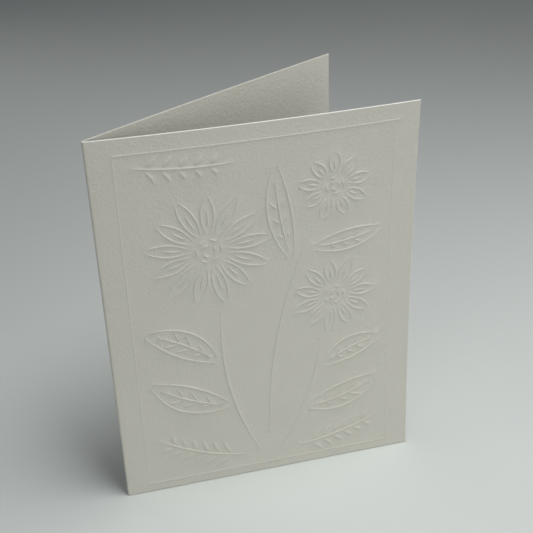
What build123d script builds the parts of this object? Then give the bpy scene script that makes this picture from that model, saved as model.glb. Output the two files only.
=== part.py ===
from build123d import *
import os
from math import atan, atan2, ceil, cos, degrees, hypot, pi, radians, sin, sqrt
from typing import NamedTuple

# A note card: one sheet of heavy felt-finish stock, folded once and stood on its lower edges.
# Its cover carries a blind-embossed ruled frame and a bunch of daisies, with no ink.
# The sheet is drawn with the fold's foot at the origin, the cover along +X facing -Y and
# the back panel turned towards +Y, and is then centred over the middle of its footprint.

# The folded sheet, in millimetres and degrees
PANEL_WIDTH = 107.95
PANEL_HEIGHT = 139.7
STOCK = 0.6
FOLD_RADIUS = 0.8
OPENING = 29.5
COVER_BOW = 1.6
COVER_CURL = 2.2
BACK_BOW = 0.45

# The embossing: ridges on the cover's face and shallower grooves behind them
RIDGE_HEIGHT = 0.3
FRAME_HEIGHT = 0.15
GROOVE_RATIO = 0.65
ROOT = 0.12
GROOVE_SHARE = 0.85
TAPER_POWER = 0.55
CHORD_ERROR = 0.12
LONGEST_SPAN = 17.0
SHORTEST_COUNT = 3

# The ruled frame, measured from the fold and from the foot of the card
FRAME_LEFT = 8.3
FRAME_RIGHT = 99.5
FRAME_FOOT = 3.5
FRAME_TOP = 134.0
FRAME_WIDTH = 0.65
FRAME_OVERRUN = 1.0

# The widths of the drawn strokes
STEM_WIDTH = 1.0
OUTLINE_WIDTH = 0.85
VEIN_WIDTH = 0.6
LEAFLET_WIDTH = 1.6

# A daisy: petals as shares of its reach, and an eye of an outer and an inner ring of dashes
PETAL_FULLNESS = 0.17
SHORT_PETAL = 0.06
PETAL_CREASE = (0.45, 0.74)
PETAL_GAP = 0.5
EYE_CLEARANCE = 1.1
OUTER_RING = 0.8
OUTER_SWEEP = 34
INNER_RING = 0.4
INNER_SWEEP = 76
INNER_DASHES = 3

# A leaf: its midrib and where its pairs of veins stand, as shares of its axis
LEAF_GAP = 0.8
MIDRIB = (0.08, 0.86)
MIDRIB_BEND = 0.6
VEINS_FROM = 0.22
VEINS_OVER = 0.5
VEIN_REACH = 5.3
VEIN_ANGLE = 38
VEIN_START = 0.9

# A fern sprig: its pairs of leaflets, as shares of its stem and of the longest leaflet
LEAFLETS_FROM = 0.14
LEAFLETS_OVER = 0.76
LEAFLET_SHORTENING = 0.45
LEAFLET_CURL = 0.06
LEAFLET_ANGLE = 50
LEAFLET_START = 1.3

# The bunch, from the fold and the foot of the card: each daisy's centre, eye, reach, petals and turn,
# each stem's ends and sag, each leaf's base, tip, half width, bend and pairs of veins,
# and each sprig's base, tip, bend, pairs and longest leaflet
DAISIES = [
    ((36, 97), 5.2, 21, 13, 6),
    ((79, 72), 4.2, 15, 11, 0),
    ((79, 114), 3.6, 12.5, 9, 10),
]
STEMS = [
    ((51.5, 8), (39, 74), 5),
    ((57.5, 8), (74.5, 56), -3),
    ((54.5, 15), (72, 101.5), 5),
]
LEAVES = [
    ((40, 33), (12.5, 47), 4.4, 1.8, 3),
    ((36.5, 53), (12.5, 68), 4.2, -1.6, 3),
    ((68.5, 25.5), (96, 34), 4.2, -1.8, 3),
    ((75, 43), (96.5, 51), 3.6, 1.6, 3),
    ((64, 89), (59, 124), 3.2, 1.4, 3),
    ((71.5, 92), (96, 95.5), 2.9, -0.8, 3),
]
SPRIGS = [
    ((45, 9), (12.5, 23), 2, 6, 8),
    ((65, 8.5), (96, 16.5), -1.5, 6, 7),
    ((12.5, 129.5), (46, 127.5), -1, 5, 6.5),
]


class Stroke(NamedTuple):
    """One embossed stroke: points on the cover, its width and height, and whether its ends are pointed."""
    points: list
    width: float
    height: float = RIDGE_HEIGHT
    pointed: bool = True


def cover_offset(x, z):
    """Return Y of the cover's outer face, which bows forward at the top and curls back at its edge."""
    u = (x - FOLD_RADIUS) / (PANEL_WIDTH - FOLD_RADIUS)
    v = z / PANEL_HEIGHT
    return -4 * COVER_BOW * v * u * (1 - u) + 4 * COVER_CURL * v * (1 - v) * u * u


def leg(bow, curl):
    """Return the outer and inner control points of one panel's section, as it leaves the fold along +X."""
    length = PANEL_WIDTH - FOLD_RADIUS
    slope = -4 * bow / length
    start_normal = Vector(sin(atan(slope)), -cos(atan(slope)))
    start = Vector(FOLD_RADIUS, FOLD_RADIUS) + start_normal * FOLD_RADIUS
    middle = start + Vector(length / 2, slope * length / 2)
    end = Vector(PANEL_WIDTH, curl)
    along = (end - middle).normalized()
    end_normal = Vector(along.Y, -along.X)
    middle_normal = (start_normal + end_normal).normalized()
    outer = [start, middle, end]
    normals = [start_normal, middle_normal, end_normal]
    inner = [point - normal * STOCK for point, normal in zip(outer, normals)]
    return outer, inner


def section(z):
    """Return the closed outline of the folded sheet at one height."""
    v = z / PANEL_HEIGHT
    centre = Vector(FOLD_RADIUS, FOLD_RADIUS)

    def turned(point):
        """Return a point of a panel lying behind the cover, swung open about the fold."""
        mirrored = Vector(point.X, 2 * FOLD_RADIUS - point.Y)
        return (mirrored - centre).rotate(Axis.Z, OPENING) + centre

    cover_outer, cover_inner = leg(COVER_BOW * v, 4 * COVER_CURL * v * (1 - v))
    flat_outer, flat_inner = leg(BACK_BOW * v, 0)
    back_outer = [turned(point) for point in flat_outer]
    back_inner = [turned(point) for point in flat_inner]
    spine = Vector(-1, 0).rotate(Axis.Z, OPENING / 2)
    edges = [
        Bezier(*cover_outer),
        Line(cover_outer[-1], cover_inner[-1]),
        Bezier(*cover_inner[::-1]),
        ThreePointArc(cover_inner[0], centre + spine * (FOLD_RADIUS - STOCK), back_inner[0]),
        Bezier(*back_inner),
        Line(back_inner[-1], back_outer[-1]),
        Bezier(*back_outer[::-1]),
        ThreePointArc(back_outer[0], centre + spine * FOLD_RADIUS, cover_outer[0]),
    ]
    return Pos(0, 0, z) * Wire(edges)


def folded_sheet():
    """Return the plain folded sheet, lofted from its foot, its middle and its top."""
    return Solid.make_loft([section(share * PANEL_HEIGHT) for share in (0, 0.5, 1)])


def arc_points(start, end, sag):
    """Return points from start to end along a shallow arc that swells to its left by sag."""
    run = (end[0] - start[0], end[1] - start[1])
    length = hypot(*run)
    side = (-run[1] / length, run[0] / length)
    spans = max(SHORTEST_COUNT, ceil(sqrt(abs(sag) / CHORD_ERROR)), ceil(length / LONGEST_SPAN))
    points = []
    for k in range(spans + 1):
        s = k / spans
        swell = 4 * sag * s * (1 - s)
        points.append((start[0] + run[0] * s + side[0] * swell, start[1] + run[1] * s + side[1] * swell))
    return points


def polar(centre, radius, angle):
    """Return the point at a radius and an angle in degrees from a centre."""
    return centre[0] + radius * cos(radians(angle)), centre[1] + radius * sin(radians(angle))


def outline_pair(start, end, half_width, bend, gap):
    """Return the two outlines of a petal or leaf, whose ends stand a gap to each side of its axis."""
    heading = degrees(atan2(end[1] - start[1], end[0] - start[0]))
    strokes = []
    for side in (90, -90):
        ends = [polar(point, gap, heading + side) for point in (start, end)]
        sag = bend + half_width * (1 if side > 0 else -1)
        strokes.append(Stroke(arc_points(ends[0], ends[1], sag), OUTLINE_WIDTH))
    return strokes


def dashed_ring(centre, radius, dashes, sweep, turn):
    """Return a ring of short curved dashes, each of which sweeps the same angle."""
    strokes = []
    bulge = radius * (1 - cos(radians(sweep / 2)))
    for k in range(dashes):
        angle = turn + k * 360 / dashes
        ends = [polar(centre, radius, angle + side * sweep / 2) for side in (-1, 1)]
        strokes.append(Stroke(arc_points(ends[0], ends[1], -bulge), VEIN_WIDTH))
    return strokes


def daisy(centre, eye, reach, petals, turn):
    """Return the strokes of a daisy: petals with two outlines and a crease, and an eye of short dashes."""
    strokes = []
    step = 360 / petals
    half_width = PETAL_FULLNESS * reach * sin(radians(step))
    for k in range(petals):
        angle = turn + k * step
        long = reach * (1 - SHORT_PETAL * (k % 2))
        root = polar(centre, eye + EYE_CLEARANCE, angle)
        strokes += outline_pair(root, polar(centre, long, angle), half_width, 0, PETAL_GAP)
        crease = [polar(centre, long * share, angle) for share in PETAL_CREASE]
        strokes.append(Stroke(arc_points(crease[0], crease[1], 0), VEIN_WIDTH))
    strokes += dashed_ring(centre, OUTER_RING * eye, petals // 2, OUTER_SWEEP, turn)
    strokes += dashed_ring(centre, INNER_RING * eye, INNER_DASHES, INNER_SWEEP, turn)
    return strokes


def along_axis(start, end, bend, share):
    """Return the point at a share of the way along a bent axis."""
    run = (end[0] - start[0], end[1] - start[1])
    heading = degrees(atan2(run[1], run[0]))
    straight = (start[0] + run[0] * share, start[1] + run[1] * share)
    return polar(straight, 4 * bend * share * (1 - share), heading + 90)


def leaf(base, tip, half_width, bend, veins):
    """Return the strokes of a lance leaf: two outlines, a midrib and side veins."""
    strokes = outline_pair(base, tip, half_width, bend, LEAF_GAP)
    rib = [along_axis(base, tip, bend, share) for share in MIDRIB]
    strokes.append(Stroke(arc_points(rib[0], rib[1], MIDRIB_BEND * bend), VEIN_WIDTH))
    heading = degrees(atan2(tip[1] - base[1], tip[0] - base[0]))
    for k in range(veins):
        share = VEINS_FROM + VEINS_OVER * k / veins
        root = along_axis(base, tip, bend, share)
        reach = VEIN_REACH * half_width * share * (1 - share)
        for side in (1, -1):
            ends = [polar(root, distance, heading + side * VEIN_ANGLE) for distance in (VEIN_START, reach)]
            strokes.append(Stroke(arc_points(ends[0], ends[1], 0), VEIN_WIDTH))
    return strokes


def sprig(base, tip, bend, pairs, leaflet):
    """Return the strokes of a fern sprig: a stem with pairs of broad leaflets that shorten to its tip."""
    strokes = [Stroke(arc_points(base, tip, bend), OUTLINE_WIDTH)]
    for k in range(pairs):
        share = LEAFLETS_FROM + LEAFLETS_OVER * k / pairs
        root = along_axis(base, tip, bend, share)
        ahead = along_axis(base, tip, bend, share + 0.01)
        heading = degrees(atan2(ahead[1] - root[1], ahead[0] - root[0]))
        length = leaflet * (1 - LEAFLET_SHORTENING * share)
        for side in (1, -1):
            angle = heading + side * LEAFLET_ANGLE
            ends = [polar(root, distance, angle) for distance in (LEAFLET_START, length)]
            sag = -side * LEAFLET_CURL * length
            strokes.append(Stroke(arc_points(ends[0], ends[1], sag), LEAFLET_WIDTH))
    return strokes


def ruled_frame():
    """Return the four lines of the frame, of which the top one runs a little past the corner."""
    left, right, foot, top = FRAME_LEFT, FRAME_RIGHT, FRAME_FOOT, FRAME_TOP
    lines = [
        ((left, foot), (right, foot)),
        ((left, top), (right + FRAME_OVERRUN, top)),
        ((left, foot), (left, top)),
        ((right, foot), (right, top)),
    ]
    paths = [arc_points(start, end, 0) for start, end in lines]
    return [Stroke(path, FRAME_WIDTH, FRAME_HEIGHT, pointed=False) for path in paths]


def bunch():
    """Return the strokes of the picture: daisies with their stems, leaves and fern sprigs."""
    strokes = [Stroke(arc_points(start, end, sag), STEM_WIDTH) for start, end, sag in STEMS]
    for draw, places in ((daisy, DAISIES), (leaf, LEAVES), (sprig, SPRIGS)):
        for place in places:
            strokes += draw(*place)
    return strokes


def stroke_solid(stroke, base, crest):
    """Return one stroke as a solid gable, with its base and crest at these depths from the cover's face."""
    last = len(stroke.points) - 1
    rise = abs(crest - base)
    spread = rise / (rise - ROOT)
    stations = []
    for k, (x, z) in enumerate(stroke.points):
        share = sin(pi * k / last) ** TAPER_POWER if stroke.pointed and 0 < k < last else 1
        if stroke.pointed and k in (0, last):
            stations.append(Vertex(x, cover_offset(x, z) + base, z))
            continue
        before = stroke.points[max(k - 1, 0)]
        after = stroke.points[min(k + 1, last)]
        run = hypot(after[0] - before[0], after[1] - before[1])
        half = stroke.width / 2 * share * spread
        aside = (-(after[1] - before[1]) / run * half, (after[0] - before[0]) / run * half)
        left = (x + aside[0], z + aside[1])
        right = (x - aside[0], z - aside[1])
        peak = base + (crest - base) * share
        corners = [(left, base), ((x, z), peak), (right, base)]
        stations.append(Wire.make_polygon([(p[0], cover_offset(*p) + stand, p[1]) for p, stand in corners]))
    return Solid.make_loft(stations, ruled=True)


def embossed_card():
    """Return the whole card, with the ridges raised and the grooves behind all but the finest sunk."""
    strokes = ruled_frame() + bunch()
    ridges = [stroke_solid(stroke, ROOT, -stroke.height) for stroke in strokes]
    grooves = []
    for stroke in strokes:
        if stroke.width > VEIN_WIDTH:
            narrowed = stroke._replace(width=stroke.width * GROOVE_SHARE)
            grooves.append(stroke_solid(narrowed, STOCK + ROOT, STOCK - stroke.height * GROOVE_RATIO))
    card = folded_sheet().fuse(*ridges).cut(*grooves)
    box = card.bounding_box()
    return Pos(-box.center().X, -box.center().Y, 0) * card


os.makedirs("parts", exist_ok=True)
export_step(embossed_card(), "parts/folded_card.step")
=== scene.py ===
"""Dresses the folded note card: its embossed sheet, its felt-finish stock, and a plain studio."""
import logging
import math
from dataclasses import dataclass, field
from enum import Enum
from typing import Dict, List, Optional, Sequence, Tuple

import bmesh
import bpy
import numpy as np
from mathutils import Matrix, Vector
from mathutils.geometry import delaunay_2d_cdt


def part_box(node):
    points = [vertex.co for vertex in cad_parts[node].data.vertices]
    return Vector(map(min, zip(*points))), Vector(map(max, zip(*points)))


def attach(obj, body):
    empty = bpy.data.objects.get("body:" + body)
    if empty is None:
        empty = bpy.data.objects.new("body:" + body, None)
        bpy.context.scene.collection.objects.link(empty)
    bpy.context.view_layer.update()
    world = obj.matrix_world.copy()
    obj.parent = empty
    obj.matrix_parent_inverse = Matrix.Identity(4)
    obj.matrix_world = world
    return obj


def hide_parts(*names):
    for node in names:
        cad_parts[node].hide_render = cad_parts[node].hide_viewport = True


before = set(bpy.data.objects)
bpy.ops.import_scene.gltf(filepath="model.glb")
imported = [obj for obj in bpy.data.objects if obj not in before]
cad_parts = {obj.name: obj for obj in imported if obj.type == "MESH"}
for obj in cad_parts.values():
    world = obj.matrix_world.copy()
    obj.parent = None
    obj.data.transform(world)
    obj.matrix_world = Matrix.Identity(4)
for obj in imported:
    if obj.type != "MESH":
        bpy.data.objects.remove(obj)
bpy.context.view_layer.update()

LOG = logging.getLogger("note_card")
MM = 0.001
NODE = "folded_card"
BODY = "root"
PIECE = "embossed_card"
TINY = 1e-6
FEWEST_SPANS = 4

Point = Tuple[float, float]
Faces = List[Sequence[int]]


def linear_rgba(hex_colour: str) -> Tuple[float, float, float, float]:
    """Turns an sRGB hex colour into the linear colour that the shaders take.

    Args:
        hex_colour: Six hex digits, with or without a leading hash.

    Returns:
        Red, green, blue and an alpha of 1.
    """
    digits = hex_colour.lstrip("#")
    values = [int(digits[k:k + 2], 16) / 255 for k in (0, 2, 4)]
    linear = [v / 12.92 if v <= 0.04045 else ((v + 0.055) / 1.055) ** 2.4 for v in values]
    return linear[0], linear[1], linear[2], 1.0


def add_node(tree: bpy.types.NodeTree, kind: str, settings: Optional[Dict[str, object]] = None,
             values: Optional[Dict[str, object]] = None,
             links: Optional[Dict[str, bpy.types.NodeSocket]] = None) -> bpy.types.Node:
    """Adds one shader node with its settings, its socket values and its incoming links.

    Args:
        tree: The node tree that takes the node.
        kind: The node's type name.
        settings: Properties of the node itself.
        values: Values for input sockets, by socket name.
        links: Output sockets to join to input sockets, by input socket name.

    Returns:
        The new node.
    """
    node = tree.nodes.new(kind)
    for name, value in (settings or {}).items():
        setattr(node, name, value)
    for name, value in (values or {}).items():
        node.inputs[name].default_value = value
    for name, socket in (links or {}).items():
        tree.links.new(socket, node.inputs[name])
    return node


@dataclass(frozen=True)
class Pattern:
    """A noise pattern in the paper, at its real size.

    Attributes:
        size_mm: The pattern's size, in millimetres.
        detail: How many finer layers it has.
        roughness: How strong the finer layers are.
        distortion: How far it is warped.
    """

    size_mm: float
    detail: float
    roughness: float
    distortion: float = 0.0

    def values(self) -> Dict[str, object]:
        """Returns the noise node's values by socket name."""
        return {"Scale": 1 / (self.size_mm * MM), "Detail": self.detail,
                "Roughness": self.roughness, "Distortion": self.distortion}


@dataclass(frozen=True)
class FeltCardStock:
    """Uncoated cotton card stock with a felt finish: soft pebbled tooth, fine fibres, no gloss.

    Attributes:
        name: The material's name.
        colour: The stock's tone where the pulp is palest.
        shade: Its tone where the pulp is darkest.
        roughness: The surface's roughness.
        ior: The stock's refractive index.
        specular: How strong the surface's faint sheen is.
        tooth: The felt's pebble.
        tooth_depth_mm: How deep the pebble is.
        grain: The fibres' finer grain.
        grain_depth_mm: How deep the grain is.
        cloud: The drift of the sheet's tone.
    """

    name: str = "uncoated felt-finish cotton card"
    colour: str = "#D6D4CA"
    shade: str = "#D1CFC4"
    roughness: float = 0.93
    ior: float = 1.5
    specular: float = 0.25
    tooth: Pattern = Pattern(0.95, 2.0, 0.45, 0.35)
    tooth_depth_mm: float = 0.13
    grain: Pattern = Pattern(0.42, 3.0, 0.6)
    grain_depth_mm: float = 0.06
    cloud: Pattern = Pattern(16.0, 3.0, 0.55)

    def material(self) -> bpy.types.Material:
        """Builds the stock's material.

        Returns:
            A material whose tooth and grain are bump, measured in real millimetres.
        """
        material = bpy.data.materials.new(self.name)
        material.use_nodes = True
        tree = material.node_tree
        tree.nodes.clear()
        place = add_node(tree, "ShaderNodeTexCoord").outputs["Object"]
        # The felt blanket presses a soft pebble into the wet sheet, which catches raking light.
        tooth = add_node(tree, "ShaderNodeTexNoise", {"noise_dimensions": "3D"},
                         self.tooth.values(), {"Vector": place}).outputs["Fac"]
        # Fibres and filler leave a finer grain over the pebble. Real fibres are a few hundredths of a
        # millimetre wide, so the grain is drawn about ten times as coarse, to show.
        grain = add_node(tree, "ShaderNodeTexNoise", {"noise_dimensions": "3D"},
                         self.grain.values(), {"Vector": place}).outputs["Fac"]
        # The pulp is a little uneven, so the sheet's tone drifts faintly from place to place.
        cloud = add_node(tree, "ShaderNodeTexNoise", {"noise_dimensions": "3D"},
                         self.cloud.values(), {"Vector": place}).outputs["Fac"]
        tone = add_node(tree, "ShaderNodeMix", {"data_type": "RGBA"},
                        {"A": linear_rgba(self.colour), "B": linear_rgba(self.shade)}, {"Factor": cloud})
        pebble = add_node(tree, "ShaderNodeBump", None,
                          {"Strength": 1.0, "Distance": self.tooth_depth_mm * MM},
                          {"Height": tooth}).outputs["Normal"]
        surface = add_node(tree, "ShaderNodeBump", None,
                           {"Strength": 1.0, "Distance": self.grain_depth_mm * MM},
                           {"Height": grain, "Normal": pebble}).outputs["Normal"]
        shader = add_node(tree, "ShaderNodeBsdfPrincipled", None,
                          {"Roughness": self.roughness, "IOR": self.ior, "Specular IOR Level": self.specular},
                          {"Base Color": tone.outputs["Result"], "Normal": surface})
        add_node(tree, "ShaderNodeOutputMaterial", None, None, {"Surface": shader.outputs["BSDF"]})
        return material


@dataclass(frozen=True)
class MattSweep:
    """Matt white painted studio floor: a plain even tone that shows only light and shadow."""

    name: str = "matt white studio floor"
    colour: str = "#DCE1DE"
    roughness: float = 0.9
    specular: float = 0.2

    def material(self) -> bpy.types.Material:
        """Builds the sweep's material.

        Returns:
            A plain matt material.
        """
        material = bpy.data.materials.new(self.name)
        material.use_nodes = True
        tree = material.node_tree
        tree.nodes.clear()
        shader = add_node(tree, "ShaderNodeBsdfPrincipled", None,
                          {"Base Color": linear_rgba(self.colour), "Roughness": self.roughness,
                           "Specular IOR Level": self.specular})
        add_node(tree, "ShaderNodeOutputMaterial", None, None, {"Surface": shader.outputs["BSDF"]})
        return material


def polar(centre: Point, radius: float, angle: float) -> Point:
    """Finds the point at a radius and an angle from a centre.

    Args:
        centre: The centre, in millimetres on the cover.
        radius: The distance, in millimetres.
        angle: The direction, in degrees from the cover's horizontal.

    Returns:
        The point on the cover.
    """
    turn = math.radians(angle)
    return centre[0] + radius * math.cos(turn), centre[1] + radius * math.sin(turn)


def heading(start: Point, end: Point) -> float:
    """Returns the direction from one point to another, in degrees."""
    return math.degrees(math.atan2(end[1] - start[1], end[0] - start[0]))


@dataclass(frozen=True)
class Stroke:
    """One embossed stroke: a shallow arc on the cover, in millimetres.

    Attributes:
        start: Where the arc starts.
        end: Where it ends.
        sag: How far it swells to its left.
        width: Its width where it is widest.
        height: How far it stands off the cover.
        pointed: Whether its ends come to a point.
    """

    start: Point
    end: Point
    sag: float
    width: float
    height: float = 0.3
    pointed: bool = True

    def centreline(self, spacing: float) -> np.ndarray:
        """Samples the arc evenly.

        Args:
            spacing: The distance between samples, in millimetres.

        Returns:
            Rows of x, z and the share of the way along.
        """
        run = np.subtract(self.end, self.start)
        length = float(np.hypot(*run))
        count = max(FEWEST_SPANS, math.ceil(length / spacing))
        share = np.linspace(0, 1, count + 1)
        side = np.array((-run[1], run[0])) / length
        swell = 4 * self.sag * share * (1 - share)
        path = np.asarray(self.start) + share[:, None] * run + swell[:, None] * side
        return np.column_stack((path, share))


@dataclass(frozen=True)
class Drawing:
    """The embossed picture: a ruled frame round three daisies, their leaves and fern sprigs.

    Lengths are in millimetres on the cover, angles in degrees, and the rest are shares.
    Each daisy is its centre, eye, reach, petals and turn, each stem its ends and sag,
    each leaf its base, tip, half width, bend and pairs of veins,
    and each sprig its base, tip, bend, pairs and longest leaflet.
    """

    frame_left: float = 8.3
    frame_right: float = 99.5
    frame_foot: float = 3.5
    frame_top: float = 134.0
    frame_width: float = 0.65
    frame_height: float = 0.15
    frame_side_share: float = 0.55
    frame_overrun: float = 1.0
    stem_width: float = 1.0
    outline_width: float = 0.85
    vein_width: float = 0.6
    leaflet_width: float = 1.6
    petal_fullness: float = 0.17
    short_petal: float = 0.06
    petal_crease: Point = (0.45, 0.74)
    petal_gap: float = 0.5
    eye_clearance: float = 1.1
    outer_ring: float = 0.8
    outer_sweep: float = 34
    inner_ring: float = 0.4
    inner_sweep: float = 76
    inner_dashes: int = 3
    leaf_gap: float = 0.8
    midrib: Point = (0.08, 0.86)
    midrib_bend: float = 0.6
    veins_from: float = 0.22
    veins_over: float = 0.5
    vein_reach: float = 5.3
    vein_angle: float = 38
    vein_start: float = 0.9
    leaflets_from: float = 0.14
    leaflets_over: float = 0.76
    leaflet_shortening: float = 0.45
    leaflet_curl: float = 0.06
    leaflet_angle: float = 50
    leaflet_start: float = 1.3
    look_ahead: float = 0.01
    daisies: Tuple = (
        ((36, 97), 5.2, 21, 13, 6),
        ((79, 72), 4.2, 15, 11, 0),
        ((79, 114), 3.6, 12.5, 9, 10),
    )
    stems: Tuple = (
        ((51.5, 8), (39, 74), 5),
        ((57.5, 8), (74.5, 56), -3),
        ((54.5, 15), (72, 101.5), 5),
    )
    leaves: Tuple = (
        ((40, 33), (12.5, 47), 4.4, 1.8, 3),
        ((36.5, 53), (12.5, 68), 4.2, -1.6, 3),
        ((68.5, 25.5), (96, 34), 4.2, -1.8, 3),
        ((75, 43), (96.5, 51), 3.6, 1.6, 3),
        ((64, 89), (59, 124), 3.2, 1.4, 3),
        ((71.5, 92), (96, 95.5), 2.9, -0.8, 3),
    )
    sprigs: Tuple = (
        ((45, 9), (12.5, 23), 2, 6, 8),
        ((65, 8.5), (96, 16.5), -1.5, 6, 7),
        ((12.5, 129.5), (46, 127.5), -1, 5, 6.5),
    )

    def ruled_frame(self) -> List[Stroke]:
        """Draws the four lines of the frame, of which the top one runs a little past the corner.

        Returns:
            The lines as strokes with square ends.
        """
        left, right, foot, top = self.frame_left, self.frame_right, self.frame_foot, self.frame_top
        full, faint = self.frame_height, self.frame_height * self.frame_side_share
        lines = [
            ((left, foot), (right, foot), full),
            ((left, top), (right + self.frame_overrun, top), full),
            ((left, foot), (left, top), faint),
            ((right, foot), (right, top), faint),
        ]
        return [Stroke(start, end, 0, self.frame_width, height, False) for start, end, height in lines]

    def outline_pair(self, start: Point, end: Point, half_width: float, bend: float,
                     gap: float) -> List[Stroke]:
        """Draws the two outlines of a petal or a leaf.

        Args:
            start: The foot of its axis.
            end: The tip of its axis.
            half_width: How far each outline swells from the axis.
            bend: How far the axis itself swells to its left.
            gap: How far the outlines' ends stand to each side of the axis.

        Returns:
            The two outlines.
        """
        strokes = []
        for side in (1, -1):
            aside = heading(start, end) + 90 * side
            ends = [polar(point, gap, aside) for point in (start, end)]
            strokes.append(Stroke(ends[0], ends[1], bend + side * half_width, self.outline_width))
        return strokes

    def dashed_ring(self, centre: Point, radius: float, dashes: int, sweep: float,
                    turn: float) -> List[Stroke]:
        """Draws a ring of short curved dashes.

        Args:
            centre: The middle of the ring.
            radius: The ring's radius.
            dashes: How many dashes it has.
            sweep: The angle that each dash sweeps.
            turn: The direction of the first dash.

        Returns:
            The dashes.
        """
        strokes = []
        bulge = radius * (1 - math.cos(math.radians(sweep / 2)))
        for k in range(dashes):
            angle = turn + k * 360 / dashes
            ends = [polar(centre, radius, angle + side * sweep / 2) for side in (-1, 1)]
            strokes.append(Stroke(ends[0], ends[1], -bulge, self.vein_width))
        return strokes

    def daisy(self, centre: Point, eye: float, reach: float, petals: int, turn: float) -> List[Stroke]:
        """Draws a daisy: petals with two outlines and a crease, and an eye of short dashes.

        Args:
            centre: The middle of the eye.
            eye: The eye's radius.
            reach: The radius to the tips of the longer petals.
            petals: How many petals there are.
            turn: The direction of the first petal.

        Returns:
            The daisy's strokes.
        """
        strokes: List[Stroke] = []
        step = 360 / petals
        half_width = self.petal_fullness * reach * math.sin(math.radians(step))
        for k in range(petals):
            angle = turn + k * step
            length = reach * (1 - self.short_petal * (k % 2))
            root = polar(centre, eye + self.eye_clearance, angle)
            strokes += self.outline_pair(root, polar(centre, length, angle), half_width, 0, self.petal_gap)
            crease = [polar(centre, length * share, angle) for share in self.petal_crease]
            strokes.append(Stroke(crease[0], crease[1], 0, self.vein_width))
        strokes += self.dashed_ring(centre, self.outer_ring * eye, petals // 2, self.outer_sweep, turn)
        strokes += self.dashed_ring(centre, self.inner_ring * eye, self.inner_dashes, self.inner_sweep, turn)
        return strokes

    def along_axis(self, start: Point, end: Point, bend: float, share: float) -> Point:
        """Finds a point on a bent axis.

        Args:
            start: The foot of the axis.
            end: The tip of the axis.
            bend: How far the axis swells to its left.
            share: The share of the way along.

        Returns:
            The point on the cover.
        """
        straight = (start[0] + (end[0] - start[0]) * share, start[1] + (end[1] - start[1]) * share)
        return polar(straight, 4 * bend * share * (1 - share), heading(start, end) + 90)

    def leaf(self, base: Point, tip: Point, half_width: float, bend: float, veins: int) -> List[Stroke]:
        """Draws a lance leaf: two outlines, a midrib and side veins.

        Args:
            base: The foot of the leaf.
            tip: The tip of the leaf.
            half_width: Half the leaf's width.
            bend: How far its axis swells to its left.
            veins: How many pairs of veins it has.

        Returns:
            The leaf's strokes.
        """
        strokes = self.outline_pair(base, tip, half_width, bend, self.leaf_gap)
        rib = [self.along_axis(base, tip, bend, share) for share in self.midrib]
        strokes.append(Stroke(rib[0], rib[1], self.midrib_bend * bend, self.vein_width))
        for k in range(veins):
            share = self.veins_from + self.veins_over * k / veins
            root = self.along_axis(base, tip, bend, share)
            reach = self.vein_reach * half_width * share * (1 - share)
            for side in (1, -1):
                angle = heading(base, tip) + side * self.vein_angle
                ends = [polar(root, distance, angle) for distance in (self.vein_start, reach)]
                strokes.append(Stroke(ends[0], ends[1], 0, self.vein_width))
        return strokes

    def sprig(self, base: Point, tip: Point, bend: float, pairs: int, leaflet: float) -> List[Stroke]:
        """Draws a fern sprig: a stem with pairs of broad leaflets that shorten to its tip.

        Args:
            base: The foot of the sprig.
            tip: The tip of the sprig.
            bend: How far its stem swells to its left.
            pairs: How many pairs of leaflets it has.
            leaflet: The longest leaflet's reach from the stem.

        Returns:
            The sprig's strokes.
        """
        strokes = [Stroke(base, tip, bend, self.outline_width)]
        for k in range(pairs):
            share = self.leaflets_from + self.leaflets_over * k / pairs
            root = self.along_axis(base, tip, bend, share)
            ahead = self.along_axis(base, tip, bend, share + self.look_ahead)
            length = leaflet * (1 - self.leaflet_shortening * share)
            for side in (1, -1):
                angle = heading(root, ahead) + side * self.leaflet_angle
                ends = [polar(root, distance, angle) for distance in (self.leaflet_start, length)]
                sag = -side * self.leaflet_curl * length
                strokes.append(Stroke(ends[0], ends[1], sag, self.leaflet_width))
        return strokes

    def bunch(self) -> List[Stroke]:
        """Draws the picture inside the frame.

        Returns:
            The strokes of the daisies, their stems, leaves and fern sprigs.
        """
        strokes = [Stroke(start, end, sag, self.stem_width) for start, end, sag in self.stems]
        for draw, places in ((self.daisy, self.daisies), (self.leaf, self.leaves), (self.sprig, self.sprigs)):
            for place in places:
                strokes += draw(*place)
        return strokes


class Side(Enum):
    """The two faces of the sheet."""

    OUTER = "outer"
    INNER = "inner"


class Surface(Enum):
    """The sheet's surfaces that differ in finish, numbered as the mesh's material slots."""

    FACE = 0
    # The cover's cut edges, whose pale colour is a painted highlight.
    PAINTED_HIGHLIGHT_EDGE = 1


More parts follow.
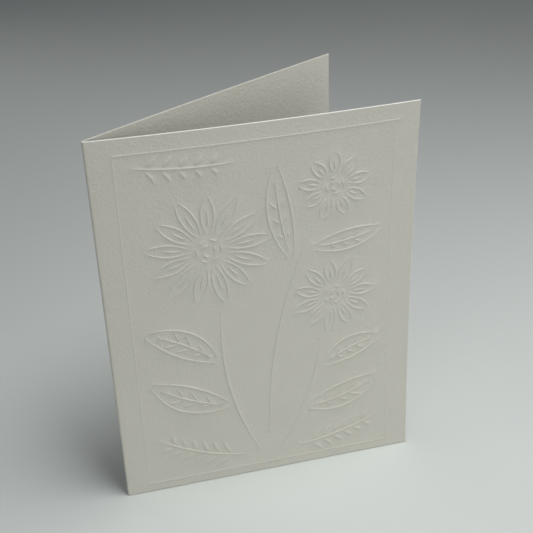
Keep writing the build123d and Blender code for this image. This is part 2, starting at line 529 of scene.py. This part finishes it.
@dataclass(frozen=True)
class Relief:
    """How a stroke stands off the sheet: a rounded ridge in front, a softer groove behind.

    Attributes:
        strokes: The strokes of the whole cover.
        groove_ratio: The groove's depth as a share of the ridge's height.
        shoulder: How far the ridge's foot spreads, as a share of the stroke's width.
        groove_spread: How much wider than the ridge the groove is.
        taper_power: How full a pointed stroke stays towards its ends.
        least_swell: The least fullness at which samples are still spread out.
        station_mm: The distance between samples along a ridge.
        inner_station_mm: The same along a groove.
        across: Where samples stand across a ridge, as shares of its half width.
        inner_across: The same across a groove.
    """

    strokes: List[Stroke]
    groove_ratio: float = 0.65
    shoulder: float = 1.3
    groove_spread: float = 1.25
    taper_power: float = 0.55
    least_swell: float = 0.25
    station_mm: float = 0.5
    inner_station_mm: float = 1.0
    across: Tuple[float, ...] = (-1.15, -0.82, -0.55, -0.28, 0.0, 0.28, 0.55, 0.82, 1.15)
    inner_across: Tuple[float, ...] = (-1.2, -0.6, 0.0, 0.6, 1.2)

    def _swell(self, stroke: Stroke, share: np.ndarray) -> np.ndarray:
        """Finds how full a stroke is along its length.

        Args:
            stroke: The stroke.
            share: Shares of the way along it.

        Returns:
            The fullness at each share, from 0 to 1.
        """
        if not stroke.pointed:
            return np.ones_like(share)
        return np.sin(np.pi * np.clip(share, 0, 1)) ** self.taper_power

    def _half_width(self, stroke: Stroke, side: Side) -> float:
        """Returns half a stroke's width at the foot of its shoulders, on one face."""
        return stroke.width / 2 * self.shoulder * (self.groove_spread if side is Side.INNER else 1)

    def heights(self, places: np.ndarray, side: Side) -> np.ndarray:
        """Finds how far the relief moves the sheet outwards.

        Args:
            places: Rows of x and z on the cover, in millimetres.
            side: The face of the sheet.

        Returns:
            The displacement at each place, in millimetres.
        """
        ratio = 1 if side is Side.OUTER else self.groove_ratio
        heights = np.zeros(len(places))
        for stroke in self.strokes:
            line = stroke.centreline(self.station_mm)
            top = stroke.height * ratio
            half = self._half_width(stroke, side)
            low, high = line[:, :2].min(axis=0) - half, line[:, :2].max(axis=0) + half
            near = np.flatnonzero(np.all((places > low) & (places < high), axis=1))
            if not len(near):
                continue
            start, step = line[:-1, :2], np.diff(line[:, :2], axis=0)
            offset = places[near, None, :] - start
            along = np.clip((offset * step).sum(axis=2) / (step ** 2).sum(axis=1), 0, 1)
            distance = np.hypot(*np.moveaxis(offset - along[..., None] * step, 2, 0))
            nearest = distance.argmin(axis=1)
            rows = np.arange(len(near))
            share = line[nearest, 2] + along[rows, nearest] * np.diff(line[:, 2])[nearest]
            swell = self._swell(stroke, share)
            reach = distance[rows, nearest] / np.maximum(half * swell, TINY)
            ridge = np.where(reach < 1, top * swell * (0.5 + 0.5 * np.cos(np.pi * np.minimum(reach, 1))), 0)
            heights[near] = np.maximum(heights[near], ridge)
        return heights

    def sample_places(self, side: Side) -> np.ndarray:
        """Places samples across each stroke, close together where the relief is steep.

        Args:
            side: The face of the sheet.

        Returns:
            Rows of x and z on the cover, in millimetres.
        """
        outer = side is Side.OUTER
        spacing = self.station_mm if outer else self.inner_station_mm
        across = np.array(self.across if outer else self.inner_across)
        rows = []
        for stroke in self.strokes:
            line = stroke.centreline(spacing)
            tangent = np.gradient(line[:, :2], axis=0)
            tangent /= np.linalg.norm(tangent, axis=1)[:, None]
            normal = np.column_stack((-tangent[:, 1], tangent[:, 0]))
            fullness = np.maximum(self._swell(stroke, line[:, 2]), self.least_swell)
            half = self._half_width(stroke, side) * fullness
            offsets = across[None, :, None] * half[:, None, None] * normal[:, None, :]
            rows.append((line[:, None, :2] + offsets).reshape(-1, 2))
        return np.vstack(rows)


@dataclass
class SheetMesh:
    """Vertices and faces as they are gathered, in millimetres in the card's own frame.

    Attributes:
        points: Blocks of vertices.
        faces: The faces as vertex numbers.
        surfaces: The surface that each face belongs to.
        surface: The surface that the next faces belong to.
        count: How many vertices there are.
    """

    points: List[np.ndarray] = field(default_factory=list)
    faces: Faces = field(default_factory=list)
    surfaces: List[Surface] = field(default_factory=list)
    surface: Surface = Surface.FACE
    count: int = 0

    def add_points(self, points: np.ndarray) -> np.ndarray:
        """Adds vertices.

        Args:
            points: Rows of x, y and z.

        Returns:
            The new vertices' numbers.
        """
        numbers = np.arange(self.count, self.count + len(points))
        self.points.append(points)
        self.count += len(points)
        return numbers

    def add_face(self, corners: Sequence[int]) -> None:
        """Adds one face of the current surface."""
        self.faces.append(tuple(int(corner) for corner in corners))
        self.surfaces.append(self.surface)

    def add_strip(self, first: Sequence[int], second: Sequence[int]) -> None:
        """Joins two rows of vertices with quads.

        Args:
            first: The first row's vertex numbers.
            second: The second row's, the same count.
        """
        for k in range(len(first) - 1):
            self.add_face((first[k], first[k + 1], second[k + 1], second[k]))


@dataclass(frozen=True)
class FoldedCard:
    """The folded sheet, with its fold's foot at the origin of its own frame, in millimetres.

    Attributes:
        relief: The cover's embossing.
        finishes: The finish of each surface.
        panel_width: The width of each panel, from the outside of the fold.
        panel_height: The height of each panel.
        stock: The sheet's thickness.
        fold_radius: The fold's outer radius.
        opening: The angle between the panels, in degrees.
        cover_bow: How far the cover's top bows forward.
        cover_curl: How far the middle of its free edge curls back.
        back_bow: How far the back panel's top bows out.
        edge_step: The distance between vertices along the sheet's edges.
        plain_step: The distance between samples on the plain sheet.
        clear_of_strokes: How far the plain samples keep from the strokes'.
        rim_gap: How far they keep from the rim, as a share of their step.
        rim_clear: How far every sample keeps from the rim.
        merge_mm: Samples nearer than this are taken as one.
        slope_step: The distance over which the sheet's slope is measured.
        fold_steps: How many flats the fold's curve has.
        edge_round: The radius of the cut edges' corners.
        edge_segments: How many flats each corner has.
        crease_angle: The angle past which a corner is shaded sharp, in degrees.
    """

    relief: Relief
    finishes: Dict[Surface, FeltCardStock]
    panel_width: float = 107.95
    panel_height: float = 139.7
    stock: float = 0.6
    fold_radius: float = 0.8
    opening: float = 29.5
    cover_bow: float = 1.6
    cover_curl: float = 2.2
    back_bow: float = 0.45
    edge_step: float = 1.0
    plain_step: float = 2.4
    clear_of_strokes: float = 0.9
    rim_gap: float = 0.6
    rim_clear: float = 0.3
    merge_mm: float = 0.09
    slope_step: float = 0.05
    fold_steps: int = 12
    edge_round: float = 0.12
    edge_segments: int = 2
    crease_angle: float = 50

    def _cover_offset(self, x: np.ndarray, z: np.ndarray) -> np.ndarray:
        """Finds the cover's outer face, bowed forward at its top and curled back at its free edge.

        Args:
            x: Distances from the outside of the fold.
            z: Heights.

        Returns:
            Y at each place.
        """
        u = (x - self.fold_radius) / (self.panel_width - self.fold_radius)
        v = z / self.panel_height
        return -4 * self.cover_bow * v * u * (1 - u) + 4 * self.cover_curl * v * (1 - v) * u * u

    def _back_offset(self, x: np.ndarray, z: np.ndarray) -> np.ndarray:
        """Finds the back panel's outer face before it is mirrored and swung open.

        Args:
            x: Distances from the outside of the fold.
            z: Heights.

        Returns:
            Y at each place.
        """
        u = (x - self.fold_radius) / (self.panel_width - self.fold_radius)
        return -4 * self.back_bow * z / self.panel_height * u * (1 - u)

    def _panel(self, places: np.ndarray, back: bool, depth: np.ndarray) -> np.ndarray:
        """Places points of a panel at a depth into the sheet from its outer face.

        Args:
            places: Rows of x and z on the panel.
            back: Whether the panel is the back one.
            depth: How deep each point lies, negative where it stands proud.

        Returns:
            Rows of x, y and z in the card's frame.
        """
        x, z = places[:, 0], places[:, 1]
        offset = self._back_offset if back else self._cover_offset
        nudge = self.slope_step
        y = offset(x, z)
        slope_x = (offset(x + nudge, z) - offset(x - nudge, z)) / (2 * nudge)
        slope_z = (offset(x, z + nudge) - offset(x, z - nudge)) / (2 * nudge)
        inward = np.column_stack((-slope_x, np.ones_like(x)))
        inward /= np.sqrt(1 + slope_x ** 2 + slope_z ** 2)[:, None]
        flat = np.column_stack((x, y)) + inward * depth[:, None]
        if back:
            turn = math.radians(self.opening)
            local = np.column_stack((flat[:, 0] - self.fold_radius, self.fold_radius - flat[:, 1]))
            flat = local @ np.array(((math.cos(turn), math.sin(turn)), (-math.sin(turn), math.cos(turn))))
            flat += self.fold_radius
        return np.column_stack((flat, z))

    def _rows(self) -> Tuple[np.ndarray, np.ndarray]:
        """Steps along the sheet's edges.

        Returns:
            The steps in x, from the fold to the free edge, and in z, from the foot to the top.
        """
        across = np.linspace(self.fold_radius, self.panel_width,
                             round((self.panel_width - self.fold_radius) / self.edge_step) + 1)
        up = np.linspace(0, self.panel_height, round(self.panel_height / self.edge_step) + 1)
        return across, up

    def _cover_face(self, mesh: SheetMesh, side: Side) -> Dict[str, np.ndarray]:
        """Meshes one face of the cover with samples gathered along the strokes.

        Args:
            mesh: The mesh that takes the face.
            side: The face of the sheet.

        Returns:
            The vertex numbers along the fold, the free edge, the foot and the top.
        """
        across, up = self._rows()
        rim = {
            "fold": np.column_stack((np.full_like(up, self.fold_radius), up)),
            "free": np.column_stack((np.full_like(up, self.panel_width), up)),
            "foot": np.column_stack((across, np.zeros_like(across)))[1:-1],
            "top": np.column_stack((across, np.full_like(across, self.panel_height)))[1:-1],
        }
        samples = self._plain_places(self.relief.sample_places(side))
        places = np.vstack((*rim.values(), samples))
        corners, _, faces, origins, *_ = delaunay_2d_cdt([Vector(p) for p in places], [], [], 0, TINY)
        made = np.array([tuple(corner) for corner in corners])
        heights = self.relief.heights(made, side)
        depth = -heights + (self.stock if side is Side.INNER else 0)
        numbers = mesh.add_points(self._panel(made, False, depth))
        for face in faces:
            order = face if side is Side.OUTER else face[::-1]
            mesh.add_face([numbers[k] for k in order])
        new_number = {old: numbers[new] for new, olds in enumerate(origins) for old in olds}
        bounds, start = {}, 0
        for name, line in rim.items():
            bounds[name] = np.array([new_number[start + k] for k in range(len(line))])
            start += len(line)
        for name, end in (("foot", 0), ("top", -1)):
            bounds[name] = np.concatenate(([bounds["fold"][end]], bounds[name], [bounds["free"][end]]))
        return bounds

    def _plain_places(self, along_strokes: np.ndarray) -> np.ndarray:
        """Adds an even scatter of samples between the strokes and drops those that nearly coincide.

        Args:
            along_strokes: The samples along the strokes.

        Returns:
            Rows of x and z, all inside the cover's rim.
        """
        step = self.plain_step
        xs = np.arange(self.fold_radius + step, self.panel_width - self.rim_gap * step, step)
        zs = np.arange(step, self.panel_height - self.rim_gap * step, step)
        grid = [(x + (step / 2 if row % 2 else 0), z) for row, z in enumerate(zs) for x in xs[:-1]]
        cell = self.clear_of_strokes
        taken = set(map(tuple, np.floor(along_strokes / cell).astype(int)))
        around = [(i, j) for i in (-1, 0, 1) for j in (-1, 0, 1)]
        free = [p for p in grid
                if not any((int(p[0] // cell) + i, int(p[1] // cell) + j) in taken for i, j in around)]
        places = np.vstack((along_strokes, np.array(free)))
        _, first = np.unique(np.round(places / self.merge_mm).astype(int), axis=0, return_index=True)
        places = places[np.sort(first)]
        x, z = places[:, 0], places[:, 1]
        inside = ((x > self.fold_radius + self.rim_clear) & (x < self.panel_width - self.rim_clear)
                  & (z > self.rim_clear) & (z < self.panel_height - self.rim_clear))
        return places[inside]

    def _back_face(self, mesh: SheetMesh, side: Side) -> Dict[str, np.ndarray]:
        """Meshes one face of the back panel as a plain grid.

        Args:
            mesh: The mesh that takes the face.
            side: The face of the sheet.

        Returns:
            The vertex numbers along the fold, the free edge, the foot and the top.
        """
        across, up = self._rows()
        places = np.array([(x, z) for x in across for z in up])
        depth = np.full(len(places), self.stock if side is Side.INNER else 0.0)
        numbers = mesh.add_points(self._panel(places, True, depth)).reshape(len(across), len(up))
        for k in range(len(across) - 1):
            rows = (numbers[k], numbers[k + 1])
            mesh.add_strip(*(rows if side is Side.OUTER else rows[::-1]))
        return {"fold": numbers[0], "free": numbers[-1], "foot": numbers[:, 0], "top": numbers[:, -1]}

    def _fold(self, mesh: SheetMesh, cover: Dict[str, np.ndarray], back: Dict[str, np.ndarray],
              side: Side) -> List[np.ndarray]:
        """Rounds one face of the fold from the cover to the back panel.

        Args:
            mesh: The mesh that takes the face.
            cover: The cover's rim on this face.
            back: The back panel's rim on this face.
            side: The face of the sheet.

        Returns:
            The fold's columns of vertex numbers, the cover's first and the back panel's last.
        """
        _, up = self._rows()
        radius = self.fold_radius - (self.stock if side is Side.INNER else 0)
        columns = [cover["fold"]]
        for k in range(1, self.fold_steps):
            angle = math.radians(-90 - (180 - self.opening) * k / self.fold_steps)
            x = self.fold_radius + radius * math.cos(angle)
            y = self.fold_radius + radius * math.sin(angle)
            columns.append(mesh.add_points(np.column_stack((np.full_like(up, x), np.full_like(up, y), up))))
        columns.append(back["fold"])
        for k in range(self.fold_steps):
            rows = (columns[k + 1], columns[k])
            mesh.add_strip(*(rows[::-1] if side is Side.OUTER else rows))
        return columns

    def _round_cut_edges(self, data: bpy.types.Mesh, cut_from: int) -> None:
        """Rounds the corners of the cut edges, as the blade leaves them, and shades them crisply.

        Args:
            data: The card's mesh.
            cut_from: The number of the first face of the cut edges.
        """
        shape = bmesh.new()
        shape.from_mesh(data)
        shape.faces.ensure_lookup_table()
        cut = set(shape.faces[cut_from:])
        corners = [edge for edge in shape.edges if len(edge.link_faces) == 2
                   and sum(face in cut for face in edge.link_faces) == 1
                   and max(vertex.co.z for vertex in edge.verts) > self.edge_round * MM]
        bevelled = bmesh.ops.bevel(shape, geom=corners, offset=self.edge_round * MM,
                                   segments=self.edge_segments, profile=0.5, affect="EDGES",
                                   clamp_overlap=True)
        rim = set(bevelled["faces"])
        # The corners beside the cover's cut edges take their pale finish, a painted highlight, one row of
        # their flats after another.
        for _ in range(self.edge_segments):
            beside = [face for face in rim
                      if any(near.material_index == Surface.PAINTED_HIGHLIGHT_EDGE.value
                             for edge in face.edges for near in edge.link_faces)]
            for face in beside:
                face.material_index = Surface.PAINTED_HIGHLIGHT_EDGE.value
        for edge in shape.edges:
            leaves_rim = sum(face in rim for face in edge.link_faces) == 1
            edge.smooth = not leaves_rim and edge.calc_face_angle(0) < math.radians(self.crease_angle)
        for face in shape.faces:
            face.smooth = True
        shape.to_mesh(data)
        shape.free()

    def _close_edges(self, mesh: SheetMesh, outer: Dict[str, np.ndarray],
                     inner: Dict[str, np.ndarray]) -> None:
        """Joins the sheet's two faces along its cut edges, of which only the cover's take the pale finish
        that paints a highlight along them.

        Args:
            mesh: The mesh that takes the edges.
            outer: The outer face's rims.
            inner: The inner face's rims.
        """
        across, _ = self._rows()
        middle_of_fold = len(across) + self.fold_steps // 2
        on_cover, on_back = slice(0, middle_of_fold + 1), slice(middle_of_fold, None)
        mesh.surface = Surface.PAINTED_HIGHLIGHT_EDGE
        mesh.add_strip(outer["foot"][on_cover], inner["foot"][on_cover])
        mesh.add_strip(inner["top"][on_cover], outer["top"][on_cover])
        mesh.add_strip(inner["cover"], outer["cover"])
        mesh.surface = Surface.FACE
        mesh.add_strip(outer["foot"][on_back], inner["foot"][on_back])
        mesh.add_strip(inner["top"][on_back], outer["top"][on_back])
        mesh.add_strip(outer["back"], inner["back"])

    def _placed_points(self, mesh: SheetMesh) -> np.ndarray:
        """Moves the vertices to where the frame's own card stands.

        Args:
            mesh: The finished mesh.

        Returns:
            Rows of x, y and z in the shared frame, in metres.
        """
        points = np.vstack(mesh.points) * MM
        low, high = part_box(NODE)
        middle = (points.min(axis=0) + points.max(axis=0)) / 2
        points[:, 0] += (low[0] + high[0]) / 2 - middle[0]
        points[:, 1] += (low[1] + high[1]) / 2 - middle[1]
        return points

    def build(self) -> bpy.types.Object:
        """Builds the card, sets it where the frame's solid stands and dresses it.

        Returns:
            The card's object.
        """
        mesh = SheetMesh()
        rims = {}
        for side in Side:
            cover, back = self._cover_face(mesh, side), self._back_face(mesh, side)
            columns = self._fold(mesh, cover, back, side)
            foot = np.concatenate((cover["foot"][::-1], [c[0] for c in columns[1:-1]], back["foot"]))
            top = np.concatenate((cover["top"][::-1], [c[-1] for c in columns[1:-1]], back["top"]))
            rims[side] = {"foot": foot, "top": top, "cover": cover["free"], "back": back["free"]}
        cut_from = len(mesh.faces)
        self._close_edges(mesh, rims[Side.OUTER], rims[Side.INNER])
        data = bpy.data.meshes.new(PIECE)
        data.from_pydata([tuple(p) for p in self._placed_points(mesh)], [], mesh.faces)
        for surface in Surface:
            data.materials.append(self.finishes[surface].material())
        data.polygons.foreach_set("material_index", [surface.value for surface in mesh.surfaces])
        self._round_cut_edges(data, cut_from)
        data.validate()
        card = bpy.data.objects.new(PIECE, data)
        bpy.context.scene.collection.objects.link(card)
        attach(card, BODY)
        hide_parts(NODE)
        LOG.info("%s: %d vertices, %d faces", PIECE, len(data.vertices), len(data.polygons))
        return card


@dataclass(frozen=True)
class SoftLamp:
    """One round soft lamp of the studio, in metres, watts and degrees.

    Attributes:
        name: The lamp's name.
        place: Where it hangs.
        aim: The point that it faces.
        size: Its width.
        power: Its power.
        spread: How wide its beam opens.
        colour: The colour of its light.
    """

    name: str
    place: Tuple[float, float, float]
    aim: Tuple[float, float, float]
    size: float
    power: float
    spread: float = 180.0
    colour: str = "#FFFFFF"

    def hang(self) -> bpy.types.Object:
        """Hangs the lamp and points it at its aim.

        Returns:
            The lamp's object, which no camera sees.
        """
        data = bpy.data.lights.new(self.name, "AREA")
        data.shape = "DISK"
        data.size = self.size
        data.energy = self.power
        data.spread = math.radians(self.spread)
        data.color = linear_rgba(self.colour)[:3]
        lamp = bpy.data.objects.new(self.name, data)
        lamp.location = self.place
        lamp.visible_camera = False
        way = Vector(self.aim) - Vector(self.place)
        lamp.rotation_euler = way.to_track_quat("-Z", "Y").to_euler()
        bpy.context.scene.collection.objects.link(lamp)
        LOG.info("%s: %.2f m across at %.1f W", self.name, self.size, self.power)
        return lamp


@dataclass(frozen=True)
class Studio:
    """A pale floor under a high soft lamp, with low ones before and behind and a dim even room.

    Attributes:
        finish: The floor's finish.
        floor_size: The floor's width, in metres.
        foot_gap: How far the floor lies under the card's foot, in metres.
        lamps: The lamps.
        room_colour: The colour of the room's even light.
        room_strength: How strong that light is.
    """

    finish: MattSweep
    floor_size: float = 6.0
    foot_gap: float = 0.0003
    lamps: Tuple[SoftLamp, ...] = (
        SoftLamp("high_lamp", (0.18, -0.16, 0.66), (0.1, -0.12, 0.0), size=0.4, power=1.63, spread=130),
        SoftLamp("low_lamp", (-0.5, -0.72, 0.26), (0.0, -0.02, 0.09), size=0.34, power=0.137, spread=75),
        SoftLamp("front_lamp", (0.2, -0.5, 0.2), (0.03, -0.04, 0.08), size=0.26, power=0.09, spread=75),
        SoftLamp("rear_lamp", (-0.38, 0.76, 0.2), (0.0, 0.02, 0.09), size=0.3, power=0.18, spread=75),
    )
    room_colour: str = "#F2F6FA"
    room_strength: float = 0.108

    def floor(self) -> bpy.types.Object:
        """Lays the floor, a hair under the card's foot, so that a fine dark line shows along it.

        Returns:
            The floor's object, staged.
        """
        half = self.floor_size / 2
        data = bpy.data.meshes.new("studio_floor")
        corners = [(-half, -half, 0), (half, -half, 0), (half, half, 0), (-half, half, 0)]
        data.from_pydata(corners, [], [tuple(range(len(corners)))])
        data.materials.append(self.finish.material())
        floor = bpy.data.objects.new("studio_floor", data)
        floor.location.z = -self.foot_gap
        bpy.context.scene.collection.objects.link(floor)
        LOG.info("studio_floor: %.1f m square", self.floor_size)
        return floor

    def room(self) -> None:
        """Fills the room with a dim even light."""
        world = bpy.data.worlds.new("studio_room")
        world.use_nodes = True
        tree = world.node_tree
        tree.nodes.clear()
        glow = add_node(tree, "ShaderNodeBackground", None,
                        {"Color": linear_rgba(self.room_colour), "Strength": self.room_strength})
        add_node(tree, "ShaderNodeOutputWorld", None, None, {"Surface": glow.outputs["Background"]})
        bpy.context.scene.world = world
        LOG.info("studio_room: strength %.2f", self.room_strength)

    def build(self) -> None:
        """Lays the floor, hangs the lamps and fills the room."""
        self.floor()
        for lamp in self.lamps:
            lamp.hang()
        self.room()


@dataclass(frozen=True)
class PhotoCamera:
    """The photograph's camera, placed from the fold's foot, in millimetres and degrees.

    Attributes:
        place: Where it stands, in the card's own frame.
        azimuth: The direction it looks from, round the upright axis.
        elevation: How far above level it looks from.
        roll: How far it leans.
        focal_pixels: Its focal length in the photograph's pixels.
        frame_pixels: The photograph's width in pixels.
        sensor_mm: The sensor's width.
        nearest: The nearest distance it shows, in metres.
        farthest: The farthest distance it shows, in metres.
    """

    place: Tuple[float, float, float] = (-12.1, -287.4, 257.9)
    azimuth: float = -13.19
    elevation: float = 30.01
    roll: float = 2.175
    focal_pixels: float = 1019.3
    frame_pixels: float = 533.0
    sensor_mm: float = 36.0
    nearest: float = 0.01
    farthest: float = 20.0

    def build(self, card: FoldedCard) -> bpy.types.Object:
        """Creates the camera and makes it the scene's own.

        Args:
            card: The card, whose own frame the camera is placed in.

        Returns:
            The camera's object.
        """
        data = bpy.data.cameras.new("photo_camera")
        data.sensor_width = self.sensor_mm
        data.lens = self.focal_pixels / self.frame_pixels * self.sensor_mm
        data.clip_start = self.nearest
        data.clip_end = self.farthest
        around, up = math.radians(self.azimuth), math.radians(self.elevation)
        forward = -Vector((math.sin(around) * math.cos(up), -math.cos(around) * math.cos(up), math.sin(up)))
        right = forward.cross(Vector((0, 0, 1))).normalized()
        down = forward.cross(right)
        turn = math.radians(self.roll)
        level_right = right * math.cos(turn) + down * math.sin(turn)
        level_down = down * math.cos(turn) - right * math.sin(turn)
        camera = bpy.data.objects.new("photo_camera", data)
        axes = Matrix((level_right, -level_down, -forward)).transposed()
        low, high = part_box(NODE)
        opening = math.radians(card.opening)
        back_reach = (card.panel_width - card.fold_radius) * math.sin(opening)
        back_edge = card.fold_radius + back_reach + card.fold_radius * math.cos(opening)
        fold_foot = Vector((low[0], high[1] - back_edge * MM, 0))
        place = fold_foot + Vector(self.place) * MM
        camera.matrix_world = Matrix.Translation(place) @ axes.to_4x4()
        bpy.context.scene.collection.objects.link(camera)
        bpy.context.scene.camera = camera
        LOG.info("photo_camera: %.2f mm lens", data.lens)
        return camera


def main() -> None:
    """Builds the camera, the card and the studio in order."""
    logging.basicConfig(level=logging.INFO, format="%(name)s %(message)s")
    bpy.context.scene.view_settings.view_transform = "Standard"
    drawing = Drawing()
    relief = Relief(drawing.ruled_frame() + drawing.bunch())
    # The cover's cut edges are painted paler than the sheet's faces, a painted highlight for the bright line
    # that light draws along them, and their tooth is smoother.
    card = FoldedCard(relief, {
        Surface.FACE: FeltCardStock(),
        Surface.PAINTED_HIGHLIGHT_EDGE: FeltCardStock("cut edge of the cotton card with painted highlight", "#F3F2ED", "#EEEDE6",
                                        tooth_depth_mm=0.02),
    })
    PhotoCamera().build(card)
    card.build()
    Studio(MattSweep()).build()


if __name__ == "__main__":
    main()
